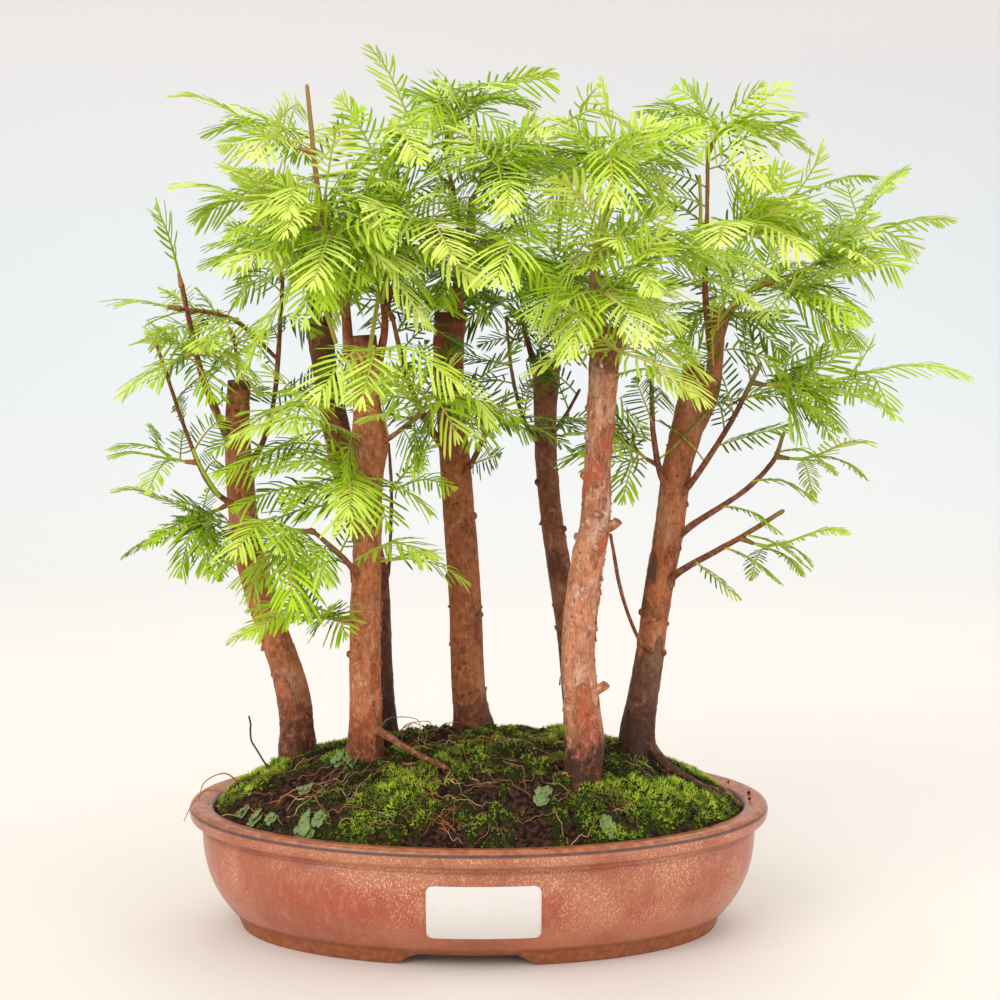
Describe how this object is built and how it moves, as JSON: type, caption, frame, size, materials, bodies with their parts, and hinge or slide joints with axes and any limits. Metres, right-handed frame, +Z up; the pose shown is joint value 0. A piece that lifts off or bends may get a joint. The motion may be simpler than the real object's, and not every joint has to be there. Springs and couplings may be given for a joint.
{
  "type": "dawn redwood bonsai forest",
  "caption": "Forest bonsai of leaning dawn redwood trunks with feathery sprays, on a mossy mound of soil in a glazed oval tray",
  "frame": {"origin": "on the surface that the tray stands on, under the middle of the outline of the whole plant and tray", "axes": "+Z up, +X to the right along the tray's long side as seen from the front, +Y away from the viewer"},
  "size_m": [0.3957, 0.2188, 0.4078],
  "materials": {
    "tray": "red-brown glaze with fine cream flecks",
    "soil_and_moss": "damp soil under moss, matt",
    "bark_orange": "peeling orange bark",
    "bark_red_brown": "fibrous red-brown bark",
    "bark_dark_brown": "fibrous dark brown bark",
    "leaves": "fresh needle leaves, satin",
    "anchor_wire": "dark coated wire",
    "drain_screen": "plastic mesh",
    "label": "coated paper"
  },
  "bodies": {
    "root": {"anchor_wire": "anchor_wire", "blank_label": "label", "drain_screen_1": "drain_screen", "drain_screen_2": "drain_screen", "soil_mound": "soil_and_moss", "spray_back_right_01": "leaves", "spray_back_right_02": "leaves", "spray_back_right_03": "leaves", "spray_centre_back_01": "leaves", "spray_centre_back_02": "leaves", "spray_centre_back_03": "leaves", "spray_centre_back_04": "leaves", "spray_centre_back_05": "leaves", "spray_centre_back_06": "leaves", "spray_centre_back_07": "leaves", "spray_centre_back_08": "leaves", "spray_far_left_01": "leaves", "spray_far_left_02": "leaves", "spray_far_left_03": "leaves", "spray_far_left_04": "leaves", "spray_far_left_05": "leaves", "spray_far_left_06": "leaves", "spray_far_left_07": "leaves", "spray_far_left_08": "leaves", "spray_far_right_01": "leaves", "spray_far_right_02": "leaves", "spray_far_right_03": "leaves", "spray_far_right_04": "leaves", "spray_far_right_05": "leaves", "spray_far_right_06": "leaves", "spray_far_right_07": "leaves", "spray_far_right_08": "leaves", "spray_far_right_09": "leaves", "spray_front_left_01": "leaves", "spray_front_left_02": "leaves", "spray_front_left_03": "leaves", "spray_front_left_04": "leaves", "spray_front_left_05": "leaves", "spray_front_left_06": "leaves", "spray_front_left_07": "leaves", "spray_front_left_08": "leaves", "spray_front_left_09": "leaves", "spray_front_left_10": "leaves", "spray_front_left_11": "leaves", "spray_front_left_12": "leaves", "spray_front_left_13": "leaves", "spray_front_right_01": "leaves", "spray_front_right_02": "leaves", "spray_front_right_03": "leaves", "spray_front_right_04": "leaves", "spray_hidden_left_01": "leaves", "spray_hidden_left_02": "leaves", "tray": "tray", "trunk_back_right": "bark_dark_brown", "trunk_centre_back": "bark_dark_brown", "trunk_far_left": "bark_dark_brown", "trunk_far_right": "bark_dark_brown", "trunk_front_left": "bark_red_brown", "trunk_front_right": "bark_orange", "trunk_hidden_left": "bark_dark_brown"}
  },
  "joints": []
}
